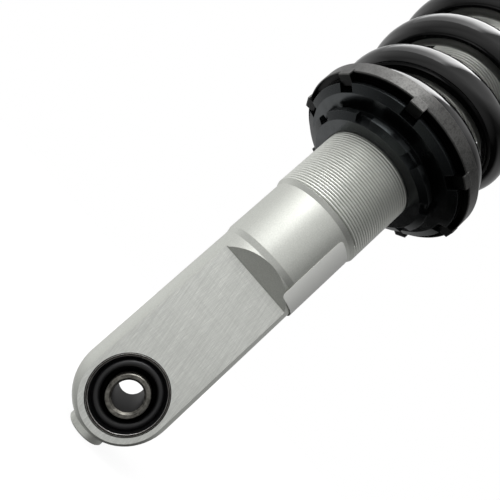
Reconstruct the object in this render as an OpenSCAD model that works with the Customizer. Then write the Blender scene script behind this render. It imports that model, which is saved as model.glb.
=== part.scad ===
// Threaded-body coilover strut: a single-tube damper in a one-piece alloy body,
// with an adjustable spring perch, its lock ring, a coil spring and a stud-type top mount.
// Millimetres. The origin is the centre of the lower eye's bore, +Z runs up the strut
// towards the top mount, and +X runs along the eye's bore.

/* [Lower eye] */
// Diameter of the round foot that carries the eye
foot_d = 52; // [50:0.5:54]
// Thickness across the two milled flats
flat_t = 30; // [28:0.5:33]
// Height of the shoulder where the flats end
flat_end_z = 78.4; // [60:0.1:84]
// Depth of the level step at that shoulder
flat_step = 1.2; // [0.8:0.1:2]
// Fillet in the corner of the step
flat_fillet_r = 0.5; // [0.3:0.1:0.8]
// Angle from level of the ramp that runs from the step out to the taper
ramp_angle = 37.5; // [25:0.5:45]
// Distance of the dome's centre below the bore
dome_drop = 0.6; // [0.3:0.1:1]
// Diameter of the turned boss on the domed end
boss_d = 20.4; // [14:0.2:26]
// Distance from the bore's axis to the boss's end face
boss_reach = 27.7; // [27.3:0.1:32]
// Chamfer round the boss's end face
boss_chamfer = 0.6; // [0.2:0.1:1]

/* [Body tube] */
// Height where the taper above the foot starts
taper_z = 85.7; // [85:0.1:88]
// Height of that taper
taper_h = 3.2; // [1:0.1:6]
// Diameter of the smooth section
smooth_d = 53.7; // [52.5:0.1:55]
// Height where the smooth section ends
smooth_end_z = 122.3; // [100:0.1:140]
// Height of the taper between the smooth section and the thread
thread_taper_h = 2.4; // [0.5:0.1:5]
// Outer diameter of the thread
thread_d = 56; // [55.5:0.1:58]
// Chamfer at the end of the thread
thread_chamfer = 0.6; // [0.2:0.1:1]
// Length of the thread
thread_len = 130; // [100:1:150]
// Diameter of the tube above the thread
neck_d = 54; // [52:0.1:54.5]
// Diameter of the damper's bore
bore_d = 46; // [44:0.5:48]
// Height of the bore's floor
bore_floor_z = 90; // [89:0.5:96]

/* [Lower bush] */
// Outer diameter of the bush's steel shell
shell_d = 38; // [36:0.5:40]
// Wall of the steel shell
shell_wall = 1.5; // [1:0.1:2]
// Distance of the shell's ends inside the flats
shell_inset = 0.2; // [0.1:0.1:1]
// Outer diameter of the inner sleeve
sleeve_d = 20; // [18.5:0.5:22]
// Bore of the inner sleeve, for an M14 bolt
sleeve_bore = 14.2; // [12.2:0.1:15.2]
// Length of the inner sleeve
sleeve_len = 34.6; // [33.5:0.1:40]
// Chamfer at the ends of the sleeve's bore
sleeve_chamfer = 1; // [0.4:0.1:1.2]
// Depth of the groove in the rubber below the shell's end
rubber_groove = 6; // [3:0.5:8]
// Radius of the bead moulded round the rubber
bead_r = 1.7; // [1:0.1:2]

/* [Lock ring] */
// Height of the lock ring's lower face
lock_z = 162.5; // [155:0.1:164]
// Thickness of the lock ring
lock_t = 4.6; // [4:0.1:8]
// Outer diameter of the lock ring
lock_d = 79; // [76:0.5:84]
// Diameter where the lower face meets its chamfer, and the depth of the slots
lock_face_d = 71; // [66:0.5:73]
// Height of that chamfer
lock_chamfer_h = 1.5; // [0.5:0.1:2.5]
// Width of the spanner slots
lock_slot_w = 8.3; // [5:0.1:10]
// Angle of the first slot
lock_slot_angle = 6.5; // [0:0.5:45]

/* [Spring perch] */
// Number of slots in the lock ring and in the perch, and of lugs on the seat ring
slot_count = 8; // [6:1:10]
// Height of the collar's boss, which the lock ring bears on
collar_boss_h = 3.1; // [2:0.1:5]
// Diameter of that boss
collar_boss_d = 72; // [68:0.5:76]
// Thickness of the collar's flange
collar_flange_t = 4.4; // [3:0.1:7]
// Outer diameter of the collar's flange
collar_d = 98.6; // [96:0.2:100]
// Diameter where the flange's lower face meets its chamfer, and the depth of the slots
collar_face_d = 90; // [86:0.5:93]
// Height of that chamfer
collar_chamfer_h = 1.4; // [0.5:0.1:2.5]
// Angle of the first slot and lug
collar_slot_angle = 30.6; // [0:0.1:45]
// Diameter of the spigot that carries the seat ring
spigot_d = 80; // [76:0.5:84]
// Gap between the spring and the guide that stands inside it
guide_gap = 1.5; // [0.5:0.1:3]
// Height of that guide above the seat
guide_h = 9; // [4:0.5:20]
// Gap between the spring and the seat ring's rim, which centres it
seat_rim_gap = 0.7; // [0.3:0.1:2]
// Wall of that rim
seat_rim_t = 3.1; // [2:0.1:5]
// Thickness of the seat ring's floor
seat_floor_t = 2.5; // [2:0.1:4]
// Height of the rim above the floor
seat_rim_h = 4.5; // [2:0.1:8]
// Width of the lugs
lug_w = 7.4; // [5:0.1:8]
// Gap between each side of a lug and the collar's slot
lug_side_gap = 0.4; // [0.1:0.05:1]
// Distance of the lugs' faces below the seat ring
lug_drop = 2.3; // [1:0.1:3.5]
// Gap between the inner end of a lug and the floor of the slot
lug_end_gap = 2.3; // [0.5:0.1:3]
// How far the lugs stand out of the rim
lug_proud = 0.2; // [0.1:0.1:2]
// Depth of the recess under the seat ring, between the collar and the rim
seat_recess_h = 1.5; // [0.5:0.1:2]
// Width of the rim's lower edge outside that recess
seat_lip_t = 1; // [0.8:0.1:2]
// Thickness of the pad under the spring
pad_t = 0.8; // [0.5:0.1:2]

/* [Coil spring] */
// Diameter of the spring's wire
wire_d = 14; // [12:0.5:15]
// Mean diameter of the coils
coil_d = 85; // [84:0.5:86]
// Gap between the wire's turns at the closed ends
closed_gap = 0.6; // [0.5:0.1:4]
// Rise of one active turn
active_pitch = 26; // [22:0.5:28]
// Number of active turns
active_turns = 9; // [7:0.5:10]
// Angle of the lower end of the wire
wire_end_angle = 180; // [0:5:355]
// Rings of facets in a turn of the wire
rings_per_turn = 24; // [16:4:32]

/* [Damper] */
// Travel of the rod
stroke = 95; // [70:1:96]
// Diameter of the piston rod
rod_d = 14; // [12:0.5:18]
// Diameter of the rod's two threaded ends
rod_end_d = 10; // [8:0.5:11]
// Length of the rod guide
guide_len = 32; // [26:1:40]
// Thickness of the wiper cap at the tube's mouth
wiper_t = 4; // [3:0.5:6]
// Thickness of the retaining ring
snap_t = 2; // [1.5:0.1:3]
// Depth of the retaining ring's groove
snap_depth = 1.2; // [0.6:0.1:1.6]
// Height of the piston
piston_h = 18; // [14:1:24]
// Height of one shim stack
shim_h = 2.5; // [1:0.1:4]
// Thickness of the backing washers
backing_t = 2.5; // [1.5:0.1:4]
// Height of the piston's nut
piston_nut_h = 9; // [6:0.5:12]
// Outer diameter of the rebound stop
rebound_stop_d = 32; // [26:0.5:34]
// Height of the rebound stop
rebound_stop_h = 10; // [6:0.5:14]
// Outer diameter of the widest shim
shim_d = 38; // [34:0.5:39]
// Step in radius from one shim to the next
shim_step = 1.5; // [0.5:0.1:2]
// Outer diameter of the backing washers
backing_d = 26; // [22:0.5:28]
// Radial gap between the pistons and the tube
piston_gap = 0.8; // [0.3:0.1:1]
// Depth of the grooves that hold the pistons' bearing bands
band_groove = 1.6; // [1:0.1:2]
// Width of the piston's bearing band
band_h = 10; // [6:0.5:12]
// Width across the flats of the nuts on the rod
nut_width = 17; // [16:1:17]
// Height of the floating piston
floater_h = 16; // [12:1:18]
// Height of the gas space under it
gas_h = 19.7; // [12:0.1:30]
// Depth of the groove that holds the floating piston's seal
seal_groove = 3.4; // [2.5:0.1:4]

/* [Top mount] */
// Thickness of the spring isolator
isolator_t = 5; // [3:0.5:8]
// Depth and wall of the isolator's collar inside the spring
isolator_collar_h = 6; // [2:0.5:10]
isolator_collar_t = 3; // [2:0.5:5]
// Thickness of the upper spring seat
upper_seat_t = 3.5; // [2.5:0.1:5]
// Gap between the upper spring seat and the studs' heads
seat_head_gap = 1.5; // [0.5:0.1:3]
// Depth and wall of the upper seat's turned-down rim
upper_rim_h = 8; // [3:0.5:12]
upper_rim_t = 3; // [1.5:0.1:3]
// Thickness of the mount plate
plate_t = 5; // [4:0.5:8]
// Distance from the strut's axis to the plate's straight sides
plate_side = 54; // [46:1:58]
// Distance from a stud's centre to the end of its corner of the plate
stud_edge = 12; // [10:0.5:18]
// Diameter of the circle of mounting studs
stud_pcd = 124; // [123:1:130]
// Diameter of the studs, M10
stud_d = 10; // [8:1:10]
// Height of the studs above the plate
stud_h = 30; // [20:1:40]
// Diameter of the studs' shank, pressed into the plate
stud_shank_d = 11.2; // [10.6:0.2:13]
// Diameter of the studs' round heads under the plate
stud_head_d = 15; // [14:0.5:18]
// Thickness of those heads
stud_head_t = 3; // [2:0.5:4]
// Depth of the round recess in the plate's top that the upper cushion sits in
plate_recess = 0.5; // [0.2:0.1:1]
// Diameter of the hole in the plate's centre
plate_hole_d = 30.4; // [28:0.2:34]
// Diameter of the two rubber cushions
cushion_d = 39; // [36:0.5:41]
// Height of the lower cushion under the plate
lower_cushion_h = 15.8; // [12:0.2:18]
// Height of the upper cushion above the plate
upper_cushion_h = 13.2; // [10:0.2:18]
// Outer diameter of the bump stop
bump_stop_d = 40; // [32:1:42]
// Outer diameter of the cup washers
cup_d = 44; // [40:0.5:48]
// Thickness of the cup washers
cup_t = 3; // [2:0.1:4]
// Wall of the spacer sleeve round the rod's end
spacer_wall = 2.2; // [1.5:0.1:3]
// Height of the top nut
top_nut_h = 9; // [8:0.5:12]
// Thread showing above the top nut
rod_tail = 6; // [2:0.5:10]

/* [Fits] */
// Radial clearance of pieces that slide or turn on each other
run_fit = 0.05; // [0.02:0.01:0.1]
// Radial clearance of pieces that are fitted together
snug_fit = 0.02; // [0.01:0.01:0.05]
// Axial clearance between pieces of different moving groups
face_gap = 0.05; // [0.02:0.01:0.1]

/* [Hidden] */
$fn = 96;

over = 1;                                 // how far a cut runs past the face it opens
bore_r = bore_d / 2;
thread_r = thread_d / 2;

// Spring's outline
wire_r = wire_d / 2;
coil_r = coil_d / 2;
turns = active_turns + 2;
closed_pitch = wire_d + closed_gap;
spring_h = 2 * closed_pitch + active_turns * active_pitch;
wire_sides = 8;

// Perch, from the lock ring up
collar_z = lock_z + lock_t + face_gap;
flange_z = collar_z + collar_boss_h;
seat_ring_z = flange_z + collar_flange_t;
seat_floor_z = seat_ring_z + seat_floor_t;
pad_z = seat_floor_z + face_gap;
spring_z = pad_z + pad_t;
spring_top_z = spring_z + spring_h;
guide_d = coil_d - wire_d - 2 * guide_gap;
seat_rim_bore = coil_d + wire_d + 2 * seat_rim_gap;
seat_d = seat_rim_bore + 2 * seat_rim_t;
collar_slot_w = lug_w + 2 * lug_side_gap;
lug_inner_d = collar_face_d + 2 * lug_end_gap;

// Top mount, from the spring up
isolator_z = spring_top_z + face_gap;
upper_seat_z = isolator_z + isolator_t;
plate_z = upper_seat_z + upper_seat_t;
plate_top_z = plate_z + plate_t;
lower_cup_z = plate_z - lower_cushion_h - cup_t;
upper_cup_z = plate_top_z + upper_cushion_h;
top_nut_z = upper_cup_z + cup_t;
rod_top_z = top_nut_z + top_nut_h + rod_tail;
neck_r = plate_hole_d / 2 - snug_fit;
spacer_r = rod_end_d / 2 + spacer_wall;
cup_r = cup_d / 2;
upper_seat_d = stud_pcd - stud_head_d - 2 * seat_head_gap;
stud_shank_r = stud_shank_d / 2;
recess_r = cup_r + 1;
recess_z = plate_top_z - plate_recess;
plate_corner_r = stud_pcd / 2 + stud_edge;

// Damper, from the floor of the bore up; with the rod pushed right in, the floating piston
// has gone down by the share of the bore that the rod takes up
end_gap = 1;
floater_drop = stroke * pow(rod_d / bore_d, 2);
floater_z = bore_floor_z + gas_h;
rod_bottom_z = floater_z + floater_h + end_gap - floater_drop + stroke;
piston_nut_z = rod_bottom_z + 2;
rebound_shim_z = piston_nut_z + piston_nut_h + backing_t;
piston_z = rebound_shim_z + shim_h;
compression_shim_z = piston_z + piston_h;
rebound_stop_z = compression_shim_z + shim_h + backing_t;
guide_z = rebound_stop_z + rebound_stop_h + 0.1;
snap_z = guide_z + guide_len;
wiper_z = snap_z + snap_t;
tube_top_z = wiper_z + wiper_t;
bump_stop_z = tube_top_z + stroke + 0.5;

// Turns a piece that is revolved about Z so that its axis lies along X
module along_x() {
    rotate([0, 90, 0]) children();
}

// Washer or sleeve between two radii
module tube(r_in, r_out, z, h) {
    translate([0, 0, z]) difference() {
        cylinder(r = r_out, h = h);
        translate([0, 0, -over]) cylinder(r = r_in, h = h + 2 * over);
    }
}

// Ring of round wire, squeezed flat where it meets its groove and its bore
module squeezed_ring(r_in, r_out, z) {
    section = (r_out - r_in) * 1.15;
    rotate_extrude()
        translate([(r_in + r_out) / 2, z])
            intersection() {
                circle(d = section);
                square([r_out - r_in, section], center = true);
            }
}

// Hexagon nut with a plain bore, its corners chamfered at the top
module hex_nut(r_in, z, h) {
    translate([0, 0, z]) difference() {
        intersection() {
            cylinder(d = nut_width / cos(30), h = h, $fn = 6);
            cylinder(d1 = nut_width * 1.28, d2 = nut_width * 1.04, h = h);
        }
        translate([0, 0, -over]) cylinder(r = r_in, h = h + 2 * over);
    }
}

// Blocks at equal steps round the strut, from one radius outwards
module radial_blocks(count, first_angle, r_in, r_out, w, z, h) {
    for (i = [0 : count - 1])
        rotate([0, 0, first_angle + i * 360 / count])
            translate([r_in, -w / 2, z])
                cube([r_out - r_in, w, h]);
}

// ---------------------------------------------------------------- Body and eye

// Half section of the solid body: domed foot, taper, smooth part, thread and neck
module body_section() {
    intersection() {
        translate([0, -dome_drop]) circle(d = foot_d);
        translate([0, -dome_drop - foot_d / 2]) square([foot_d / 2, foot_d / 2]);
    }
    polygon([
        [0, -boss_reach], [boss_d / 2 - boss_chamfer, -boss_reach],
        [boss_d / 2, -boss_reach + boss_chamfer], [boss_d / 2, -dome_drop - boss_d / 2],
        [0, -dome_drop - boss_d / 2]
    ]);
    thread_z = smooth_end_z + thread_taper_h;
    thread_end_z = thread_z + thread_len;
    polygon([
        [0, -dome_drop], [foot_d / 2, -dome_drop], [foot_d / 2, taper_z],
        [smooth_d / 2, taper_z + taper_h], [smooth_d / 2, smooth_end_z],
        [thread_r, thread_z], [thread_r, thread_end_z - thread_chamfer],
        [thread_r - thread_chamfer, thread_end_z], [neck_d / 2, thread_end_z],
        [neck_d / 2, tube_top_z - 1], [neck_d / 2 - 1, tube_top_z], [0, tube_top_z]
    ]);
}

// Cutter for one flat, with a round corner that leaves the fillet and a sloping end for the ramp
module flat_cutter() {
    low = -boss_reach - over;
    reach = smooth_d / 2 + over;
    fillet_x = flat_t / 2 + flat_fillet_r;
    ramp_x = flat_t / 2 + flat_step;
    ramp_top_z = flat_end_z + (reach - ramp_x) * tan(ramp_angle);
    rotate([90, 0, 0]) linear_extrude(smooth_d + 2 * over, center = true) {
        translate([flat_t / 2, low])
            square([fillet_x - flat_t / 2 + over, flat_end_z - flat_fillet_r - low]);
        translate([fillet_x, flat_end_z - flat_fillet_r]) circle(r = flat_fillet_r);
        polygon([
            [fillet_x, low], [reach, low], [reach, ramp_top_z], [ramp_x, flat_end_z],
            [fillet_x, flat_end_z]
        ]);
    }
}

module strut_body() {
    color("#c9cac4") difference() {
        rotate_extrude() body_section();
        flat_cutter();
        mirror([1, 0, 0]) flat_cutter();
        along_x() cylinder(r = shell_d / 2 + snug_fit, h = foot_d + 2 * over, center = true);
        translate([0, 0, bore_floor_z])
            cylinder(d = bore_d, h = tube_top_z - bore_floor_z + over);
        translate([0, 0, snap_z]) cylinder(r = bore_r + snap_depth, h = snap_t);
    }
}

shell_half = flat_t / 2 - shell_inset;
shell_in_r = shell_d / 2 - shell_wall;

module bush_shell() {
    edge = 0.5;
    color("#4a4642") along_x() rotate_extrude() polygon([
        [shell_in_r, -shell_half], [shell_d / 2 - edge, -shell_half],
        [shell_d / 2, -shell_half + edge], [shell_d / 2, shell_half - edge],
        [shell_d / 2 - edge, shell_half], [shell_in_r, shell_half]
    ]);
}

bead_x = (sleeve_d / 2 + run_fit) * 0.45 + (shell_in_r - snug_fit) * 0.55;
bead_z = shell_half - bead_r - 0.4;

// Half section of the rubber without its bead: a groove round the sleeve and a lip at the shell
module rubber_section() {
    sleeve_r = sleeve_d / 2 + run_fit;
    shell_r = shell_in_r - snug_fit;
    width = shell_r - sleeve_r;
    groove = shell_half - rubber_groove;
    lip = shell_half - 0.8;
    half_side = [
        [sleeve_r, groove + 1], [sleeve_r + 0.6, groove], [sleeve_r + 0.25 * width, groove],
        [bead_x - bead_r + 0.3, bead_z], [bead_x + bead_r - 0.3, bead_z],
        [sleeve_r + 0.85 * width, bead_z - 1], [shell_r, lip]
    ];
    last = len(half_side) - 1;
    polygon(concat(half_side, [for (i = [0 : last])
        [half_side[last - i][0], -half_side[last - i][1]]]));
}

module bush_rubber() {
    color("#141414") along_x() {
        rotate_extrude() rubber_section();
        for (z = [-bead_z, bead_z])
            rotate_extrude() translate([bead_x, z]) circle(r = bead_r);
    }
}

module bush_sleeve() {
    half = sleeve_len / 2;
    edge = 0.4;
    color("#6b6660") along_x() rotate_extrude() polygon([
        [sleeve_bore / 2 + sleeve_chamfer, -half], [sleeve_d / 2 - edge, -half],
        [sleeve_d / 2, -half + edge], [sleeve_d / 2, half - edge],
        [sleeve_d / 2 - edge, half], [sleeve_bore / 2 + sleeve_chamfer, half],
        [sleeve_bore / 2, half - sleeve_chamfer], [sleeve_bore / 2, -half + sleeve_chamfer]
    ]);
}

// ---------------------------------------------------------------- Tube's closure

guide_bush_r = rod_d / 2 + run_fit + 1.2;
rod_seal_r = rod_d / 2 + run_fit + 5;
seal_pocket_h = 8;
bush_pocket_h = 18;
ring_groove_h = 4;
ring_groove_d = 3;
guide_ring_z = guide_z + guide_len / 2;

module rod_guide() {
    r_out = bore_r - snug_fit;
    color("silver") difference() {
        translate([0, 0, guide_z]) cylinder(r = r_out, h = guide_len);
        translate([0, 0, guide_z - over])
            cylinder(r = rod_d / 2 + 0.5, h = guide_len + 2 * over);
        translate([0, 0, guide_z - over])
            cylinder(r = guide_bush_r + snug_fit, h = bush_pocket_h + over);
        translate([0, 0, guide_z + guide_len - seal_pocket_h])
            cylinder(r = rod_seal_r + snug_fit, h = seal_pocket_h + over);
        tube(r_out - ring_groove_d, r_out + over, guide_ring_z - ring_groove_h / 2,
             ring_groove_h);
    }
}

module guide_bush() {
    color("#8a7a58") tube(rod_d / 2 + run_fit, guide_bush_r, guide_z, bush_pocket_h);
}

module guide_o_ring() {
    color("#181818")
        squeezed_ring(bore_r - ring_groove_d, bore_r - snug_fit, guide_ring_z);
}

module rod_seal() {
    color("#202020") tube(rod_d / 2 + run_fit, rod_seal_r,
                          guide_z + guide_len - seal_pocket_h, seal_pocket_h);
}

module retaining_ring() {
    color("#555555") difference() {
        tube(bore_r - 2, bore_r + snap_depth - snug_fit, snap_z + snug_fit, snap_t - 2 * snug_fit);
        translate([bore_r - 3, -2, snap_z - over]) cube([5, 4, snap_t + 2 * over]);
    }
}

module wiper_cap() {
    lip_r = rod_d / 2 + run_fit;
    color("#1c1c1c") rotate_extrude() polygon([
        [lip_r + 2, wiper_z], [bore_r - snug_fit, wiper_z],
        [bore_r - snug_fit, tube_top_z - 0.5], [bore_r - 0.6, tube_top_z],
        [lip_r + 3, tube_top_z], [lip_r + 0.8, tube_top_z], [lip_r, tube_top_z - 1],
        [lip_r, wiper_z + 1]
    ]);
}

// ---------------------------------------------------------------- Floating piston

floater_r = bore_r - piston_gap;
floater_groove_r = bore_r - seal_groove;
floater_wall = 8;
floater_ring_h = 4;
floater_seal_z = floater_z + floater_h * 0.3;
floater_band_z = floater_z + floater_h * 0.7 - floater_ring_h / 2;

module floating_piston() {
    color("#b8b8b8") difference() {
        translate([0, 0, floater_z]) cylinder(r = floater_r, h = floater_h);
        translate([0, 0, floater_z - over]) cylinder(r = bore_r - floater_wall, h = floater_h * 0.6 + over);
        tube(floater_groove_r, bore_r + over, floater_seal_z - floater_ring_h / 2,
             floater_ring_h);
        tube(band_groove_r, bore_r + over, floater_band_z, floater_ring_h);
    }
}

module floating_piston_seal() {
    color("#181818")
        squeezed_ring(floater_groove_r + snug_fit, bore_r - run_fit, floater_seal_z);
}

module floating_piston_band() {
    color("#5b4a2f") tube(band_groove_r + snug_fit, bore_r - run_fit,
                          floater_band_z + snug_fit, floater_ring_h - 2 * snug_fit);
}

// ---------------------------------------------------------------- Rod and piston

module piston_rod() {
    shaft_z = rebound_stop_z;
    edge = 1;
    color("#d8d8d8") rotate_extrude() polygon([
        [0, rod_bottom_z], [rod_end_d / 2 - edge, rod_bottom_z],
        [rod_end_d / 2, rod_bottom_z + edge], [rod_end_d / 2, shaft_z],
        [rod_d / 2, shaft_z], [rod_d / 2, lower_cup_z], [rod_end_d / 2, lower_cup_z],
        [rod_end_d / 2, rod_top_z - edge], [rod_end_d / 2 - edge, rod_top_z],
        [0, rod_top_z]
    ]);
}

stack_bore_r = rod_end_d / 2 + snug_fit;

module rebound_stop() {
    color("#2a2a2a") tube(rod_d / 2 + snug_fit, rebound_stop_d / 2, rebound_stop_z, rebound_stop_h);
}

module backing_washers() {
    color("#7a7a7a") {
        tube(stack_bore_r, backing_d / 2, compression_shim_z + shim_h, backing_t);
        tube(stack_bore_r, backing_d / 2, rebound_shim_z - backing_t, backing_t);
    }
}

// A stack of shims that get smaller away from the piston
module shim_stack(z, up) {
    steps = 5;
    leaf = shim_h / steps;
    for (i = [0 : steps - 1])
        tube(stack_bore_r, shim_d / 2 - i * shim_step,
             up ? z + i * leaf : z + shim_h - (i + 1) * leaf, leaf);
}

module compression_shims() {
    color("#9a9a9a") shim_stack(compression_shim_z, true);
}

module rebound_shims() {
    color("#9a9a9a") shim_stack(rebound_shim_z, false);
}

piston_r = bore_r - piston_gap;
band_groove_r = piston_r - band_groove;

module piston() {
    ports = 6;
    port_r = 2;
    port_ring_r = (stack_bore_r + band_groove_r) / 2 + 1;
    color("#a8a8a8") difference() {
        tube(stack_bore_r, piston_r, piston_z, piston_h);
        tube(band_groove_r, bore_r + over, piston_z + (piston_h - band_h) / 2, band_h);
        for (i = [0 : ports - 1])
            rotate([0, 0, i * 360 / ports])
                translate([port_ring_r, 0, piston_z - over])
                    cylinder(r = port_r, h = piston_h + 2 * over);
    }
}

module piston_band() {
    color("#5b4a2f") tube(band_groove_r + snug_fit, bore_r - run_fit,
                          piston_z + (piston_h - band_h) / 2 + snug_fit,
                          band_h - 2 * snug_fit);
}

module piston_nut() {
    color("#8a8a8a") hex_nut(stack_bore_r, piston_nut_z, piston_nut_h);
}

// ---------------------------------------------------------------- Perch and lock ring

module lock_ring() {
    color("#1b1d1f") difference() {
        rotate_extrude() polygon([
            [thread_r + run_fit, lock_z + 0.4], [thread_r + run_fit + 0.4, lock_z],
            [lock_face_d / 2, lock_z], [lock_d / 2, lock_z + lock_chamfer_h],
            [lock_d / 2, lock_z + lock_t - 0.4], [lock_d / 2 - 0.4, lock_z + lock_t],
            [thread_r + run_fit, lock_z + lock_t]
        ]);
        radial_blocks(slot_count, lock_slot_angle, lock_face_d / 2, lock_d / 2 + over,
                      lock_slot_w, lock_z - over, lock_t + 2 * over);
    }
}

module perch_collar() {
    bore = thread_r + run_fit;
    guide_top = spring_z + guide_h;
    color("#1b1d1f") difference() {
        rotate_extrude() polygon([
            [bore, collar_z], [collar_boss_d / 2 - 0.5, collar_z],
            [collar_boss_d / 2, collar_z + 0.5], [collar_boss_d / 2, flange_z],
            [collar_face_d / 2, flange_z], [collar_d / 2, flange_z + collar_chamfer_h],
            [collar_d / 2, seat_ring_z - 1.4], [collar_d / 2 - 1, seat_ring_z],
            [spigot_d / 2, seat_ring_z], [spigot_d / 2, seat_floor_z],
            [guide_d / 2, seat_floor_z], [guide_d / 2, guide_top - 2],
            [guide_d / 2 - 2, guide_top], [bore, guide_top]
        ]);
        radial_blocks(slot_count, collar_slot_angle, collar_face_d / 2, collar_d / 2 + over,
                      collar_slot_w, flange_z - over, collar_flange_t + over);
    }
}

module spring_seat_ring() {
    rim_top = seat_floor_z + seat_rim_h;
    edge = 0.4;
    color("#2b2d2e") union() {
        difference() {
            rotate_extrude() polygon([
                [spigot_d / 2 + snug_fit, seat_ring_z], [seat_d / 2 - edge, seat_ring_z],
                [seat_d / 2, seat_ring_z + edge], [seat_d / 2, rim_top - edge],
                [seat_d / 2 - edge, rim_top], [seat_rim_bore / 2, rim_top],
                [seat_rim_bore / 2, seat_floor_z], [spigot_d / 2 + snug_fit, seat_floor_z]
            ]);
            tube(collar_d / 2, seat_d / 2 - seat_lip_t, seat_ring_z - over,
                 seat_recess_h + over);
        }
        radial_blocks(slot_count, collar_slot_angle, lug_inner_d / 2, seat_d / 2 + lug_proud,
                      lug_w, seat_ring_z - lug_drop, lug_drop + seat_recess_h);
    }
}

module lower_spring_pad() {
    color("#101010") tube(guide_d / 2 + 0.6, seat_rim_bore / 2 - 0.4, pad_z, pad_t);
}

// ---------------------------------------------------------------- Coil spring

// Height of the wire's centre after a number of turns
function wire_z(x) =
    x < 1 ? spring_z + closed_pitch * x :
    x > turns - 1 ? spring_top_z - closed_pitch * (turns - x) :
    spring_z + closed_pitch + active_pitch * (x - 1);

// One ring of points round the wire, cut off at the two ground ends
function wire_ring(x) = [
    for (k = [0 : wire_sides - 1])
        let (a = 360 * k / wire_sides,
             r = coil_r + wire_r * cos(a),
             z = wire_z(x) + wire_r * sin(a),
             t = wire_end_angle + 360 * x)
        [r * cos(t), r * sin(t), max(spring_z, min(spring_top_z, z))]
];

ring_count = round(turns * rings_per_turn);
wire_points = [for (i = [0 : ring_count]) each wire_ring(i / rings_per_turn)];

// Two triangles for each facet along the wire
wire_skin = [
    for (i = [0 : ring_count - 1]) for (k = [0 : wire_sides - 1])
        let (n = (k + 1) % wire_sides,
             a = i * wire_sides + k, b = i * wire_sides + n,
             c = a + wire_sides, d = b + wire_sides)
        each [[a, c, b], [b, c, d]]
];

// A fan of triangles over one end of the wire, from a point clear of the ground flat
function wire_end(first, apex, flip) = [
    for (k = [1 : wire_sides - 2])
        let (a = first + (apex + k) % wire_sides, b = first + (apex + k + 1) % wire_sides)
        flip ? [first + apex, b, a] : [first + apex, a, b]
];

// Least distance between the points of neighbouring turns
function turn_gap() = min([
    for (i = [0 : ring_count - rings_per_turn - 1]) for (j = [-1 : 1])
        for (k = [0 : wire_sides - 1]) for (m = [0 : wire_sides - 1])
            let (p = i * wire_sides + k, q = (i + rings_per_turn + j) * wire_sides + m)
            norm(wire_points[p] - wire_points[q])
]);

module coil_spring() {
    echo(least_gap_between_turns = turn_gap());
    color("#0d0d0e") polyhedron(
        points = wire_points,
        faces = concat(wire_skin,
                       wire_end(0, wire_sides / 4, false),
                       wire_end(ring_count * wire_sides, 3 * wire_sides / 4, true)));
}

// ---------------------------------------------------------------- Top mount

module spring_isolator() {
    collar_r = coil_r - wire_r - 1;
    collar_in_r = collar_r - isolator_collar_t;
    rim_r = upper_seat_d / 2 - upper_rim_t - 0.5;
    color("#161616") rotate_extrude() polygon([
        [collar_in_r, isolator_z - isolator_collar_h], [collar_r, isolator_z - isolator_collar_h],
        [collar_r, isolator_z], [rim_r, isolator_z], [rim_r, upper_seat_z],
        [collar_in_r, upper_seat_z]
    ]);
}

module upper_spring_seat() {
    rim_r = upper_seat_d / 2;
    rim_in = rim_r - upper_rim_t;
    hub_r = cushion_d / 2 + 2;
    color("#17181a") rotate_extrude() polygon([
        [hub_r, upper_seat_z], [rim_in, upper_seat_z], [rim_in, plate_z - upper_rim_h],
        [rim_r, plate_z - upper_rim_h], [rim_r, plate_z - 2], [rim_r - 2, plate_z],
        [hub_r, plate_z]
    ]);
}

// Outline of the three-sided plate with its rounded corners
module plate_outline() {
    far = 2 * plate_side;
    intersection() {
        circle(r = plate_corner_r);
        polygon([for (i = [0 : 2]) far * [cos(120 * i), sin(120 * i)]]);
    }
}

module at_studs() {
    for (i = [0 : 2]) rotate([0, 0, 120 * i]) translate([stud_pcd / 2, 0, 0]) children();
}

module mount_plate() {
    color("#17181a") difference() {
        translate([0, 0, plate_z]) linear_extrude(plate_t) plate_outline();
        translate([0, 0, plate_z - over]) cylinder(d = plate_hole_d, h = plate_t + 2 * over);
        translate([0, 0, recess_z]) cylinder(r = recess_r, h = plate_recess + over);
        at_studs() translate([0, 0, plate_z - over])
            cylinder(r = stud_shank_r + snug_fit, h = plate_t + 2 * over);
    }
}

module mount_studs() {
    head_r = stud_head_d / 2;
    head_z = plate_z - stud_head_t;
    edge = 1;
    color("#b9b9b4") at_studs() rotate_extrude() polygon([
        [0, head_z], [head_r, head_z], [head_r, plate_z],
        [stud_shank_r, plate_z], [stud_shank_r, plate_top_z],
        [stud_d / 2, plate_top_z], [stud_d / 2, plate_top_z + stud_h - edge],
        [stud_d / 2 - edge, plate_top_z + stud_h], [0, plate_top_z + stud_h]
    ]);
}

cushion_bore_r = spacer_r + run_fit;

module lower_cushion() {
    low = lower_cup_z + cup_t + face_gap;
    color("#151515") rotate_extrude() polygon([
        [cushion_bore_r, low], [cushion_d / 2 - 2, low], [cushion_d / 2, low + 4],
        [cushion_d / 2, plate_z], [neck_r, plate_z], [neck_r, plate_z + plate_t / 2],
        [cushion_bore_r, plate_z + plate_t / 2]
    ]);
}

module upper_cushion() {
    high = upper_cup_z - face_gap;
    color("#151515") rotate_extrude() polygon([
        [cushion_bore_r, plate_z + plate_t / 2], [neck_r, plate_z + plate_t / 2],
        [neck_r, recess_z], [cushion_d / 2, recess_z], [cushion_d / 2, high - 4],
        [cushion_d / 2 - 2, high], [cushion_bore_r, high]
    ]);
}

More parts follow.
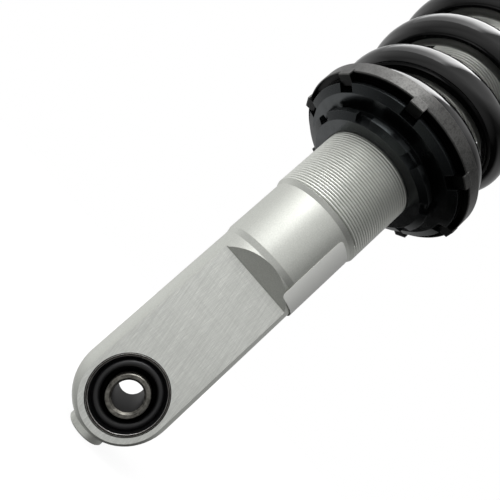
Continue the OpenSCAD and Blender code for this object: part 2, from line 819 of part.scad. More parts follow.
// Foam bumper with two waists, round the rod under the lower cup washer
module bump_stop() {
    r = bump_stop_d / 2;
    waist = bump_stop_d * 0.075;
    h = lower_cup_z - bump_stop_z;
    color("#c8b878") rotate_extrude() difference() {
        polygon([
            [rod_d / 2 + snug_fit, bump_stop_z], [r * 0.65, bump_stop_z],
            [r * 0.9, bump_stop_z + h * 0.2], [r, bump_stop_z + h * 0.45], [r, lower_cup_z],
            [rod_d / 2 + snug_fit, lower_cup_z]
        ]);
        for (at = [0.35, 0.68]) translate([r + 0.5, bump_stop_z + h * at]) circle(r = waist);
    }
}

module lower_cup_washer() {
    color("#8f8f8a") tube(stack_bore_r, cup_r, lower_cup_z, cup_t);
}

module spacer_sleeve() {
    low = lower_cup_z + cup_t;
    color("#9a9a94") tube(stack_bore_r, spacer_r, low, upper_cup_z - low);
}

module upper_cup_washer() {
    color("#8f8f8a") tube(stack_bore_r, cup_r, upper_cup_z, cup_t);
}

module top_nut() {
    color("#9d9d98") hex_nut(stack_bore_r, top_nut_z, top_nut_h);
}

strut_body();
bush_shell();
bush_rubber();
bush_sleeve();
rod_guide();
guide_bush();
guide_o_ring();
rod_seal();
retaining_ring();
wiper_cap();
floating_piston();
floating_piston_seal();
floating_piston_band();
piston_rod();
rebound_stop();
backing_washers();
compression_shims();
piston();
piston_band();
rebound_shims();
piston_nut();
lock_ring();
perch_collar();
spring_seat_ring();
lower_spring_pad();
coil_spring();
spring_isolator();
upper_spring_seat();
mount_plate();
mount_studs();
lower_cushion();
upper_cushion();
bump_stop();
lower_cup_washer();
spacer_sleeve();
upper_cup_washer();
top_nut();
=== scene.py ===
import bmesh
import bpy
import math
from mathutils import Matrix, Vector


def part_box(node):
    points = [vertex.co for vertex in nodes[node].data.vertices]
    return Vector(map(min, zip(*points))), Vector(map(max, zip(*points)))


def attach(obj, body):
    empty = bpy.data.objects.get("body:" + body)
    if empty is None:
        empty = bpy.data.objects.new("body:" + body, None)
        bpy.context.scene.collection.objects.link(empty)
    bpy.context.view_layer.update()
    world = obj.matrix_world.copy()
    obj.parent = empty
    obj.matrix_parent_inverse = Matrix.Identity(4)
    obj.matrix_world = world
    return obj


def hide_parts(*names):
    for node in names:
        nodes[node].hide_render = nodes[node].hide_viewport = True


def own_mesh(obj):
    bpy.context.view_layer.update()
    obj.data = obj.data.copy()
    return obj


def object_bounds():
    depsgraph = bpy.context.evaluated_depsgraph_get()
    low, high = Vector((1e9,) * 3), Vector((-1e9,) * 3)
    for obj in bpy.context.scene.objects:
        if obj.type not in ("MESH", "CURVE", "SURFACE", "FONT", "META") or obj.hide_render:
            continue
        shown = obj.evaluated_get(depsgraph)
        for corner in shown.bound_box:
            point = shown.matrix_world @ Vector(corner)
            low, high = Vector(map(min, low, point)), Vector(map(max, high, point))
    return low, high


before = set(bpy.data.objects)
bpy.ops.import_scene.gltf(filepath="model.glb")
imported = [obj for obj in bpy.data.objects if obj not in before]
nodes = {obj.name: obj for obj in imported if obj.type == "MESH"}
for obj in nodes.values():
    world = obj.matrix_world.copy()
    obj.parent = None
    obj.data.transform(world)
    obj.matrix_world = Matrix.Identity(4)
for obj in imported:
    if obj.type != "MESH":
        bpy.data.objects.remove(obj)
bpy.context.view_layer.update()
cad_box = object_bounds()
mm = 0.001

# ---------------------------------------------------------------- Strut body
# One bar of aluminium alloy, turned outside, bored for the damper and milled flat on two
# sides of its foot. It is satin blasted and clear anodised. The 56 mm thread with its
# 1.5 mm pitch is cut into it here, and carries the lock ring and the spring perch.


def add(tree, kind, feeds=None, **settings):
    """A node with its settings, and with a value or another node's socket on each input."""
    node = tree.nodes.new(kind)
    for name, value in settings.items():
        setattr(node, name, value)
    for name, value in (feeds or {}).items():
        if isinstance(value, bpy.types.NodeSocket):
            tree.links.new(value, node.inputs[name])
        else:
            node.inputs[name].default_value = value
    return node


def maths(tree, operation, *values, clamp=False):
    """The outcome of an operation on values and other nodes' sockets."""
    node = add(tree, "ShaderNodeMath", dict(enumerate(values)), operation=operation,
               use_clamp=clamp)
    return node.outputs["Value"]


def dot(tree, first, second):
    """How far one vector reaches along another."""
    node = add(tree, "ShaderNodeVectorMath", {0: first, 1: second}, operation="DOT_PRODUCT")
    return node.outputs["Value"]


def ramp(tree, value, start, end, low, high):
    """What runs from low to high as a value goes from start to end, and is level beyond."""
    node = add(tree, "ShaderNodeMapRange", {"Value": value, "From Min": start, "From Max": end,
                                            "To Min": low, "To Max": high})
    return node.outputs["Result"]


def effect_group(name, inputs, outputs):
    """An empty shader node group, with its Group Input and Group Output nodes."""
    group = bpy.data.node_groups.new(name, "ShaderNodeTree")
    for label, kind, value in inputs:
        socket = group.interface.new_socket(label, in_out="INPUT", socket_type=kind)
        if value is not None:
            socket.default_value = value
    for label, kind in outputs:
        group.interface.new_socket(label, in_out="OUTPUT", socket_type=kind)
    return group, group.nodes.new("NodeGroupInput"), group.nodes.new("NodeGroupOutput")


def use_group(tree, group, feeds):
    """An effect group placed in a material, with the material's own values."""
    return add(tree, "ShaderNodeGroup", feeds, node_tree=group)


def new_material(name, colour, metallic, roughness):
    """A material, its node tree, its shader and the object coordinates that patterns read."""
    material = bpy.data.materials.new(name)
    material.use_nodes = True
    tree = material.node_tree
    shader = tree.nodes["Principled BSDF"]
    shader.inputs["Base Color"].default_value = (*colour, 1)
    shader.inputs["Metallic"].default_value = metallic
    shader.inputs["Roughness"].default_value = roughness
    place = tree.nodes.new("ShaderNodeTexCoord").outputs["Object"]
    return material, tree, shader, place


# Grain: a fine even speckle, as blasting, casting and moulding leave
grain, into, out = effect_group(
    "grain",
    [("Vector", "NodeSocketVector", None), ("Scale", "NodeSocketFloat", 1000.0),
     ("Low", "NodeSocketFloat", 0.0), ("High", "NodeSocketFloat", 1.0)],
    [("Value", "NodeSocketFloat")],
)
speckle = add(grain, "ShaderNodeTexNoise",
              {"Vector": into.outputs["Vector"], "Scale": into.outputs["Scale"],
               "Detail": 3.0, "Roughness": 0.6})
spread = ramp(grain, speckle.outputs["Fac"], 0.3, 0.7, into.outputs["Low"], into.outputs["High"])
grain.links.new(spread, out.inputs["Value"])

# Lines: scratches and cutter marks that run along Z after a turn about X
lines, into, out = effect_group(
    "lines",
    [("Vector", "NodeSocketVector", None), ("Turn", "NodeSocketFloat", 0.0),
     ("Spacing", "NodeSocketFloat", 2500.0), ("Stretch", "NodeSocketFloat", 0.02),
     ("Low", "NodeSocketFloat", 0.0), ("High", "NodeSocketFloat", 1.0)],
    [("Value", "NodeSocketFloat")],
)
turned = add(lines, "ShaderNodeVectorRotate",
             {"Vector": into.outputs["Vector"], "Angle": into.outputs["Turn"]},
             rotation_type="X_AXIS")
long_way = add(lines, "ShaderNodeCombineXYZ",
               {"X": 1.0, "Y": 1.0, "Z": into.outputs["Stretch"]})
squeezed = add(lines, "ShaderNodeVectorMath",
               {0: turned.outputs["Vector"], 1: long_way.outputs["Vector"]},
               operation="MULTIPLY")
strokes = add(lines, "ShaderNodeTexNoise",
              {"Vector": squeezed.outputs["Vector"], "Scale": into.outputs["Spacing"],
               "Detail": 4.0, "Roughness": 0.7})
spread = ramp(lines, strokes.outputs["Fac"], 0.32, 0.68, into.outputs["Low"],
              into.outputs["High"])
lines.links.new(spread, out.inputs["Value"])

# Edges: the small round that every machined edge has, and a mask along it that some materials
# paint lighter, as edge wear and as a painted edge highlight
edges, into, out = effect_group(
    "edges",
    [("Radius", "NodeSocketFloat", 0.0003), ("Reach", "NodeSocketFloat", 6.0)],
    [("Normal", "NodeSocketVector"), ("Mask", "NodeSocketFloat")],
)
rounded = add(edges, "ShaderNodeBevel", {"Radius": into.outputs["Radius"]}, samples=6)
true_face = add(edges, "ShaderNodeNewGeometry")
agree = dot(edges, rounded.outputs["Normal"], true_face.outputs["Normal"])
apart = maths(edges, "SUBTRACT", 1.0, agree)
mask = maths(edges, "MULTIPLY", apart, into.outputs["Reach"], clamp=True)
edges.links.new(rounded.outputs["Normal"], out.inputs["Normal"])
edges.links.new(mask, out.inputs["Mask"])

# From axis: nothing inside a radius round an axis through the origin, and all outside it
from_axis, into, out = effect_group(
    "from_axis",
    [("Vector", "NodeSocketVector", None), ("Across", "NodeSocketVector", (1.0, 1.0, 0.0)),
     ("Radius", "NodeSocketFloat", 0.01), ("Soft", "NodeSocketFloat", 0.0001)],
    [("Mask", "NodeSocketFloat")],
)
arm = add(from_axis, "ShaderNodeVectorMath",
          {0: into.outputs["Vector"], 1: into.outputs["Across"]}, operation="MULTIPLY")
reach = add(from_axis, "ShaderNodeVectorMath", {0: arm.outputs["Vector"]}, operation="LENGTH")
limit = maths(from_axis, "ADD", into.outputs["Radius"], into.outputs["Soft"])
outside = ramp(from_axis, reach.outputs["Value"], into.outputs["Radius"], limit, 0.0, 1.0)
from_axis.links.new(outside, out.inputs["Mask"])


def tint(tree, factor, low, high):
    """A mask's mix of two colours, each of them a value or another node's socket."""
    feeds = {"Factor": factor}
    for name, colour in (("A", low), ("B", high)):
        feeds[name] = colour if isinstance(colour, bpy.types.NodeSocket) else (*colour, 1)
    return add(tree, "ShaderNodeMix", feeds, data_type="RGBA").outputs["Result"]


def roughen(tree, shader, height, depth, strength, smooth=None):
    """Puts fine relief on a shader, over a smoother normal where it has one."""
    feeds = {"Height": height, "Distance": depth, "Strength": strength}
    if smooth is not None:
        feeds["Normal"] = smooth
    bump = add(tree, "ShaderNodeBump", feeds)
    tree.links.new(bump.outputs["Normal"], shader.inputs["Normal"])


def merged_copy(node):
    """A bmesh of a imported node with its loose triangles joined."""
    bm = bmesh.new()
    bm.from_mesh(nodes[node].data)
    bmesh.ops.remove_doubles(bm, verts=bm.verts, dist=0.001 * mm)
    return bm


def as_mesh(bm, name):
    """Puts a finished bmesh into a mesh."""
    mesh = bpy.data.meshes.new(name)
    bm.to_mesh(mesh)
    bm.free()
    return mesh


def as_object(bm, name):
    """Puts a finished bmesh into the scene."""
    thing = bpy.data.objects.new(name, as_mesh(bm, name))
    bpy.context.scene.collection.objects.link(thing)
    return thing


def as_piece(bm, name, material, body, replaces=(), sharp=25):
    """Makes a bmesh a piece of the strut that rides on one of its bodies."""
    for face in bm.faces:
        face.smooth = True
    for edge in bm.edges:
        edge.smooth = edge.calc_face_angle(0) < math.radians(sharp)
    piece = as_object(bm, name)
    piece.data.materials.append(material)
    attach(piece, body)
    if replaces:
        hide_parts(*replaces)
    return piece


def slice_at(bm, point, normal, **clear):
    """Cuts a bmesh's faces along a plane, and may clear what lies on one side of it."""
    bmesh.ops.bisect_plane(bm, geom=bm.verts[:] + bm.edges[:] + bm.faces[:], plane_co=point,
                           plane_no=normal, dist=1e-7, **clear)


def fill_holes(bm):
    """Closes a bmesh's open ends."""
    bmesh.ops.holes_fill(bm, edges=[edge for edge in bm.edges if edge.is_boundary], sides=0)


def cut_to_root(bm, centre, crest, root, low, high):
    """Takes a cylinder down to its thread's root between two heights."""
    step = 0.05 * mm
    on_crest = 0.02 * mm
    for height in (low, low + step, high - step, high):
        slice_at(bm, (0, 0, height), (0, 0, 1))
    for vert in bm.verts:
        arm = vert.co - Vector((centre[0], centre[1], vert.co.z))
        between = low + step / 2 < vert.co.z < high - step / 2
        if between and abs(arm.length - crest) < on_crest:
            vert.co -= arm * (1 - root / crest)


def one_turn(shape, rise, steps):
    """A closed outline in radius and height, spun once round Z as it rises."""
    bm = bmesh.new()
    ring = [bm.verts.new((r, 0, z)) for r, z in shape]
    loop = [bm.edges.new((ring[i - 1], ring[i])) for i in range(len(ring))]
    bmesh.ops.spin(bm, geom=ring + loop, cent=(0, 0, 0), axis=(0, 0, 1),
                   dvec=(0, 0, rise / steps), angle=2 * math.pi, steps=steps)
    return as_mesh(bm, "turn")


def stack_turns(bm, turn, low, rise, count):
    """Puts a turn on itself a number of times, and gives the height that it ends at."""
    for number in range(count):
        before = len(bm.verts)
        bm.from_mesh(turn)
        bmesh.ops.translate(bm, verts=bm.verts[before:], vec=(0, 0, low + number * rise))
    return low + count * rise


def close_winding(bm, start_angle):
    """Joins the turns, closes the two ends and turns the winding to its start angle."""
    bmesh.ops.remove_doubles(bm, verts=bm.verts, dist=0.002 * mm)
    fill_holes(bm)
    bmesh.ops.recalc_face_normals(bm, faces=bm.faces)
    bmesh.ops.rotate(bm, verts=bm.verts, cent=(0, 0, 0),
                     matrix=Matrix.Rotation(start_angle, 3, "Z"))


def thread_ridge(centre, crest, root, pitch, low, turns, start_angle, steps):
    """A bmesh of a right-hand thread's ridge, standing on its root."""
    half_base = pitch * 0.49
    half_crest = pitch * 0.25
    inner = root - 0.1 * mm
    shape = [(inner, -half_base), (crest, -half_crest), (crest, half_crest), (inner, half_base)]
    bm = bmesh.new()
    stack_turns(bm, one_turn(shape, pitch, steps), low, pitch, turns)
    close_winding(bm, start_angle)
    bmesh.ops.translate(bm, verts=bm.verts, vec=(centre[0], centre[1], 0))
    return bm


thread_r = 28.0 * mm
thread_root_r = 27.2 * mm
thread_low = 124.8 * mm
thread_pitch = 1.5 * mm
thread_turns = 86
thread_start = math.radians(45)
thread_steps = 96
flat_x = 15.0 * mm

# Each thread's crest stays this far inside its packed cylinder
crest_gap = 0.005 * mm

alloy_colour = (0.65, 0.662, 0.62)
turned_alloy, tree, shader, place = new_material("turned_alloy", alloy_colour, 0.85, 0.46)
blast = use_group(tree, grain, {"Vector": place, "Scale": 1500.0, "Low": 0.0, "High": 1.0})
cloud = use_group(tree, grain, {"Vector": place, "Scale": 90.0, "Low": 0.43, "High": 0.49})
tree.links.new(tint(tree, blast.outputs["Value"], (0.58, 0.592, 0.553), (0.68, 0.692, 0.65)),
               shader.inputs["Base Color"])
tree.links.new(cloud.outputs["Value"], shader.inputs["Roughness"])
roughen(tree, shader, blast.outputs["Value"], 0.01 * mm, 0.6)

cut_alloy, tree, shader, place = new_material("cut_alloy", alloy_colour, 0.85, 0.48)
# The thread is painted darker at its roots and lighter at its crests: painted shade in the
# grooves and a painted highlight on the crests.
lit_crests_shaded_roots = use_group(tree, from_axis, {"Vector": place, "Radius": thread_root_r,
                                     "Soft": thread_r - thread_root_r})
tree.links.new(tint(tree, lit_crests_shaded_roots.outputs["Mask"], (0.55, 0.56, 0.525), (0.78, 0.794, 0.748)),
               shader.inputs["Base Color"])

milled_alloy, tree, shader, place = new_material("milled_alloy", alloy_colour, 0.85, 0.4)
along = use_group(tree, lines, {"Vector": place, "Turn": 0.09, "Spacing": 2600.0,
                                "Stretch": 0.05, "Low": 0.0, "High": 1.0})
slanted = use_group(tree, lines, {"Vector": place, "Turn": -0.25, "Spacing": 1500.0,
                                  "Stretch": 0.04, "Low": 0.0, "High": 1.0})
across = use_group(tree, lines, {"Vector": place, "Turn": 1.62, "Spacing": 1100.0,
                                 "Stretch": 0.02, "Low": 0.0, "High": 1.0})
both = maths(tree, "MULTIPLY", along.outputs["Value"], slanted.outputs["Value"])
marks = maths(tree, "MULTIPLY_ADD", across.outputs["Value"], 0.18, both)
tree.links.new(tint(tree, marks, (0.6, 0.611, 0.578), (0.91, 0.925, 0.88)),
               shader.inputs["Base Color"])
roughen(tree, shader, marks, 0.02 * mm, 0.5)

bm = merged_copy("strut_body")
cut_to_root(bm, (0, 0), thread_r, thread_root_r, thread_low,
            thread_low + thread_turns * thread_pitch)
for face in bm.faces:
    on_flat = abs(abs(face.calc_center_median().x) - flat_x) < 0.01 * mm
    face.material_index = 1 if on_flat and abs(face.normal.x) > 0.99 else 0
body_piece = as_piece(bm, "body", turned_alloy, "damper_body",
                      ["strut_body"], sharp=12)
body_piece.data.materials.append(milled_alloy)

bm = thread_ridge((0, 0), thread_r - crest_gap, thread_root_r, thread_pitch,
                  thread_low, thread_turns, thread_start, thread_steps)
as_piece(bm, "body_thread", cut_alloy, "damper_body", sharp=100)

# ---------------------------------------------------------------- Label
# A plain white film label with round corners, stuck round the smooth part of the body.
# Its lower end bridges the step down to the foot. It is left bare.
label_r = 26.93 * mm
label_low = 80.7 * mm
label_high = 120.3 * mm
label_start = math.radians(28)
label_width = 40.0 * mm
label_thick = 0.1 * mm
label_corner = 2.2 * mm

film, tree, shader, place = new_material("label_film", (0.93, 0.94, 0.9), 0.0, 0.35)
fibre = use_group(tree, grain, {"Vector": place, "Scale": 400.0, "Low": 0.3, "High": 0.42})
tree.links.new(fibre.outputs["Value"], shader.inputs["Roughness"])
sheen = use_group(tree, grain, {"Vector": place, "Scale": 60.0, "Low": 0.0, "High": 1.0})
tree.links.new(tint(tree, sheen.outputs["Value"], (0.92, 0.93, 0.89), (0.95, 0.96, 0.92)),
               shader.inputs["Base Color"])

bm = bmesh.new()
bmesh.ops.create_grid(bm, x_segments=1, y_segments=1, size=0.5)
bmesh.ops.scale(bm, verts=bm.verts, vec=(label_width, label_high - label_low, 1))
bmesh.ops.bevel(bm, geom=bm.verts[:], offset=label_corner, segments=5, profile=0.5,
                affect="VERTICES", material=-1)
strips = 40
for strip in range(1, strips):
    slice_at(bm, ((strip / strips - 0.5) * label_width, 0, 0), (1, 0, 0))
for vert in bm.verts:
    angle = label_start + (vert.co.x + label_width / 2) / label_r
    height = (label_low + label_high) / 2 + vert.co.y
    vert.co = Vector((label_r * math.cos(angle), label_r * math.sin(angle), height))
bmesh.ops.recalc_face_normals(bm, faces=bm.faces)
bm.faces.ensure_lookup_table()
outward = bm.faces[0].calc_center_median() * Vector((1, 1, 0))
if bm.faces[0].normal.dot(outward) < 0:
    bmesh.ops.reverse_faces(bm, faces=bm.faces)
bmesh.ops.solidify(bm, geom=bm.faces[:], thickness=label_thick)
as_piece(bm, "blank_label", film, "damper_body")

# ---------------------------------------------------------------- Lower bush
# A steel shell pressed into the eye, a moulded rubber body with a round bead at each end,
# and a thick steel sleeve for the bolt. The rubber carries the sleeve and lets it twist.
shell_steel, tree, shader, place = new_material("shell_steel", (0.3, 0.28, 0.26), 1.0, 0.42)
tarnish = use_group(tree, grain, {"Vector": place, "Scale": 350.0, "Low": 0.0, "High": 1.0})
edge_highlight_and_wear = use_group(tree, edges, {"Radius": 0.5 * mm, "Reach": 6.0})
dark = tint(tree, tarnish.outputs["Value"], (0.015, 0.014, 0.012), (0.05, 0.045, 0.04))
# The shell's edges are painted near white: a painted highlight round its rim, with some edge
# wear.
tree.links.new(tint(tree, edge_highlight_and_wear.outputs["Mask"], dark, (0.8, 0.79, 0.77)),
               shader.inputs["Base Color"])
tree.links.new(edge_highlight_and_wear.outputs["Normal"], shader.inputs["Normal"])


def moulded_rubber(name):
    """Black rubber with a faint bloom and the fine skin that a mould leaves."""
    material, tree, shader, place = new_material(name, (0.004, 0.004, 0.0045), 0.0, 0.36)
    bloom = use_group(tree, grain, {"Vector": place, "Scale": 260.0, "Low": 0.3, "High": 0.42})
    tree.links.new(bloom.outputs["Value"], shader.inputs["Roughness"])
    mould = use_group(tree, grain, {"Vector": place, "Scale": 1800.0, "Low": 0.0, "High": 1.0})
    skin = tint(tree, mould.outputs["Value"], (0.0025, 0.0025, 0.003), (0.0055, 0.0055, 0.006))
    tree.links.new(skin, shader.inputs["Base Color"])
    roughen(tree, shader, mould.outputs["Value"], 0.01 * mm, 0.5)
    return material, tree, shader, place, skin


seal_rubber = moulded_rubber("seal_rubber")[0]

# The bush's groove round the sleeve is too deep and narrow to catch light, so shade is painted
# there: its rubber is made nearly black, with no gloss.
groove_r = 12.3 * mm
groove_edge = 0.4 * mm
bush_rubber, tree, shader, place, skin = moulded_rubber("bush_rubber")
outside_groove_shade = use_group(tree, from_axis, {"Vector": place, "Across": (0.0, 1.0, 1.0),
                                    "Radius": groove_r, "Soft": groove_edge})
tree.links.new(tint(tree, outside_groove_shade.outputs["Mask"], (0.001, 0.001, 0.001), skin),
               shader.inputs["Base Color"])
tree.links.new(maths(tree, "SUBTRACT", 1.0, outside_groove_shade.outputs["Mask"]), shader.inputs["Metallic"])

# The sleeve's bore is darker and rougher than its faces
bore_r = 7.15 * mm
sleeve_steel, tree, shader, place = new_material("sleeve_steel", (0.35, 0.32, 0.29), 1.0, 0.38)
rust = use_group(tree, grain, {"Vector": place, "Scale": 500.0, "Low": 0.0, "High": 1.0})
scaly = tint(tree, rust.outputs["Value"], (0.05, 0.048, 0.042), (0.22, 0.212, 0.19))
# The sleeve's edges are painted light: a painted highlight on its rims and chamfers, with edge
# wear.
edge_highlight_and_wear = use_group(tree, edges, {"Radius": 0.25 * mm, "Reach": 4.0})
highlit_and_rubbed = tint(tree, edge_highlight_and_wear.outputs["Mask"], scaly, (0.5, 0.49, 0.46))
wall = use_group(tree, from_axis, {"Vector": place, "Across": (0.0, 1.0, 1.0),
                                   "Radius": bore_r})
tree.links.new(tint(tree, wall.outputs["Mask"], (0.018, 0.017, 0.016), highlit_and_rubbed),
               shader.inputs["Base Color"])
tree.links.new(ramp(tree, wall.outputs["Mask"], 0.0, 1.0, 0.52, 0.38),
               shader.inputs["Roughness"])
roughen(tree, shader, rust.outputs["Value"], 0.02 * mm, 0.4, edge_highlight_and_wear.outputs["Normal"])


def finish_node(node, material):
    """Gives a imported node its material."""
    nodes[node].data.materials.clear()
    nodes[node].data.materials.append(material)


finish_node("bush_shell", shell_steel)
finish_node("bush_rubber", bush_rubber)
finish_node("bush_sleeve", sleeve_steel)

# ---------------------------------------------------------------- Lock ring and perch collar
# Two turned alloy rings on the body's thread, milled with spanner slots and black
# anodised. The lock ring jams against the collar, whose flange and spigot carry the seat.
black_alloy, tree, shader, place = new_material("black_alloy", (0.002, 0.002, 0.002), 0.0, 0.24)
shader.inputs["Specular Tint"].default_value = (0.86, 0.96, 1.0, 1.0)
pores = use_group(tree, grain, {"Vector": place, "Scale": 1300.0, "Low": 0.0, "High": 1.0})
dull = use_group(tree, grain, {"Vector": place, "Scale": 140.0, "Low": 0.2, "High": 0.28})
edge_highlight_and_wear = use_group(tree, edges, {"Radius": 0.25 * mm, "Reach": 3.0})
tree.links.new(dull.outputs["Value"], shader.inputs["Roughness"])
# The edges are painted a little lighter: edge wear and a painted edge highlight.
tree.links.new(tint(tree, edge_highlight_and_wear.outputs["Mask"], (0.0016, 0.0018, 0.0019), (0.012, 0.013, 0.013)),
               shader.inputs["Base Color"])
roughen(tree, shader, pores.outputs["Value"], 0.01 * mm, 0.5, edge_highlight_and_wear.outputs["Normal"])
finish_node("lock_ring", black_alloy)
finish_node("perch_collar", black_alloy)

# ---------------------------------------------------------------- Seat ring and pad
# A turned ring with eight lugs that drop into the collar's slots. Its rim is left as
# blasted, a dull speckled grey, and a thin rubber pad lies under the spring.
rim_r = 52.8 * mm
seat_metal, tree, shader, place = new_material("seat_metal", (0.07, 0.07, 0.068), 0.9, 0.38)
mottle = use_group(tree, grain, {"Vector": place, "Scale": 260.0, "Low": 0.0, "High": 1.0})
fine = use_group(tree, grain, {"Vector": place, "Scale": 1500.0, "Low": 0.0, "High": 1.0})
mixed = maths(tree, "MULTIPLY_ADD", mottle.outputs["Value"], 0.55, fine.outputs["Value"])
blasted = tint(tree, mixed, (0.032, 0.032, 0.031), (0.098, 0.097, 0.094))
# Inside the rim the ring is painted near black: painted shade over its face and lugs behind the
# collar.
outside_painted_shade = use_group(tree, from_axis, {"Vector": place, "Radius": rim_r})
tree.links.new(tint(tree, outside_painted_shade.outputs["Mask"], (0.002, 0.002, 0.002), blasted),
               shader.inputs["Base Color"])
edge_highlight_and_wear = use_group(tree, edges, {"Radius": 0.3 * mm, "Reach": 4.0})
roughen(tree, shader, mixed, 0.02 * mm, 0.5, edge_highlight_and_wear.outputs["Normal"])
finish_node("spring_seat_ring", seat_metal)
finish_node("lower_spring_pad", seal_rubber)

# ---------------------------------------------------------------- Coil spring
# Round 14 mm spring steel, wound cold to eleven turns with closed and ground ends, then
# shot peened and coated in thick gloss black paint.
wire_r = 7.0 * mm
coil_r = 42.5 * mm
closed_rise = 14.6 * mm
active_rise = 26.0 * mm
active_turns = 9
wire_start = math.radians(180)
wire_sides = 32
turn_steps = 72
spring_low, spring_high = (corner.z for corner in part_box("coil_spring"))

gloss_black, tree, shader, place = new_material("gloss_black", (0.002, 0.002, 0.0021), 0.0, 0.1)
shader.inputs["IOR"].default_value = 1.55
shader.inputs["Coat Weight"].default_value = 0.45
shader.inputs["Coat Roughness"].default_value = 0.03
peel = use_group(tree, grain, {"Vector": place, "Scale": 180.0, "Low": 0.0, "High": 1.0})
roughen(tree, shader, peel.outputs["Value"], 0.01 * mm, 0.25)
dust = use_group(tree, grain, {"Vector": place, "Scale": 700.0, "Low": 0.07, "High": 0.13})
tree.links.new(dust.outputs["Value"], shader.inputs["Roughness"])

wire_outline = [(coil_r + wire_r * math.cos(2 * math.pi * side / wire_sides),
                 wire_r * math.sin(2 * math.pi * side / wire_sides))
                for side in range(wire_sides)]
closed_turn = one_turn(wire_outline, closed_rise, turn_steps)
active_turn = one_turn(wire_outline, active_rise, turn_steps)
bm = bmesh.new()
top = stack_turns(bm, closed_turn, spring_low, closed_rise, 1)
top = stack_turns(bm, active_turn, top, active_rise, active_turns)
stack_turns(bm, closed_turn, top, closed_rise, 1)
close_winding(bm, wire_start)
for height, top_end in ((spring_low, False), (spring_high, True)):
    slice_at(bm, (0, 0, height), (0, 0, 1), clear_outer=top_end, clear_inner=not top_end)
    fill_holes(bm)
spring = as_piece(bm, "spring_wire", gloss_black, "spring_foot",
                  ["coil_spring"], sharp=40)
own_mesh(spring)

# ---------------------------------------------------------------- Damper
# What closes the tube and works in it: a bushed rod guide with its seals, the floating
# piston over the gas, and the piston with its shims, band and nut on a chromed rod.
chrome, tree, shader, place = new_material("hard_chrome", (0.72, 0.73, 0.74), 1.0, 0.08)
polish = use_group(tree, lines, {"Vector": place, "Turn": 1.5708, "Spacing": 1500.0,
                                 "Stretch": 0.05, "Low": 0.05, "High": 0.13})
tree.links.new(polish.outputs["Value"], shader.inputs["Roughness"])

zinc, tree, shader, place = new_material("zinc_plate", (0.56, 0.56, 0.55), 1.0, 0.32)
spangle = use_group(tree, grain, {"Vector": place, "Scale": 420.0, "Low": 0.0, "High": 1.0})
tree.links.new(tint(tree, spangle.outputs["Value"], (0.47, 0.47, 0.46), (0.62, 0.62, 0.6)),
               shader.inputs["Base Color"])
edge_highlight_and_wear = use_group(tree, edges, {"Radius": 0.3 * mm, "Reach": 4.0})
tree.links.new(edge_highlight_and_wear.outputs["Normal"], shader.inputs["Normal"])

bearing, tree, shader, place = new_material("bearing_strip", (0.16, 0.11, 0.06), 0.0, 0.5)
filler = use_group(tree, grain, {"Vector": place, "Scale": 900.0, "Low": 0.0, "High": 1.0})
tree.links.new(tint(tree, filler.outputs["Value"], (0.12, 0.08, 0.045), (0.2, 0.14, 0.08)),
               shader.inputs["Base Color"])

for node in ("rod_guide", "floating_piston"):
    finish_node(node, turned_alloy)
for node in ("guide_bush", "floating_piston_band", "piston_band"):
    finish_node(node, bearing)
for node in ("guide_o_ring", "rod_seal", "wiper_cap", "floating_piston_seal", "rebound_stop"):
    finish_node(node, seal_rubber)
for node in ("retaining_ring", "piston"):
    finish_node(node, sleeve_steel)
for node in ("backing_washers", "compression_shims", "rebound_shims", "piston_nut"):
    finish_node(node, zinc)

# ---------------------------------------------------------------- Bump stop
# A soft foam bumper with two waists, pushed onto the rod under the top mount.
foam, tree, shader, place = new_material("bumper_foam", (0.55, 0.45, 0.22), 0.0, 0.75)
cells = use_group(tree, grain, {"Vector": place, "Scale": 900.0, "Low": 0.0, "High": 1.0})
tree.links.new(tint(tree, cells.outputs["Value"], (0.42, 0.33, 0.15), (0.62, 0.52, 0.28)),
               shader.inputs["Base Color"])
roughen(tree, shader, cells.outputs["Value"], 0.1 * mm, 0.6)
finish_node("bump_stop", foam)

# ---------------------------------------------------------------- Top mount
# A three-cornered steel plate with pressed studs and a round spring seat, both powder
# coated black, on two rubber cushions that are clamped between zinc plated cups.
powder, tree, shader, place = new_material("powder_coat", (0.015, 0.015, 0.016), 0.0, 0.4)
orange = use_group(tree, grain, {"Vector": place, "Scale": 600.0, "Low": 0.0, "High": 1.0})
gloss = use_group(tree, grain, {"Vector": place, "Scale": 80.0, "Low": 0.34, "High": 0.46})
tree.links.new(gloss.outputs["Value"], shader.inputs["Roughness"])
edge_highlight_and_wear = use_group(tree, edges, {"Radius": 0.5 * mm, "Reach": 3.0})
tree.links.new(tint(tree, edge_highlight_and_wear.outputs["Mask"], (0.014, 0.014, 0.015), (0.04, 0.04, 0.04)),
               shader.inputs["Base Color"])
roughen(tree, shader, orange.outputs["Value"], 0.04 * mm, 0.5, edge_highlight_and_wear.outputs["Normal"])
for node in ("mount_plate", "upper_spring_seat"):
    finish_node(node, powder)
for node in ("spring_isolator", "lower_cushion", "upper_cushion"):
    finish_node(node, seal_rubber)
for node in ("lower_cup_washer", "upper_cup_washer", "spacer_sleeve", "top_nut"):
    finish_node(node, zinc)

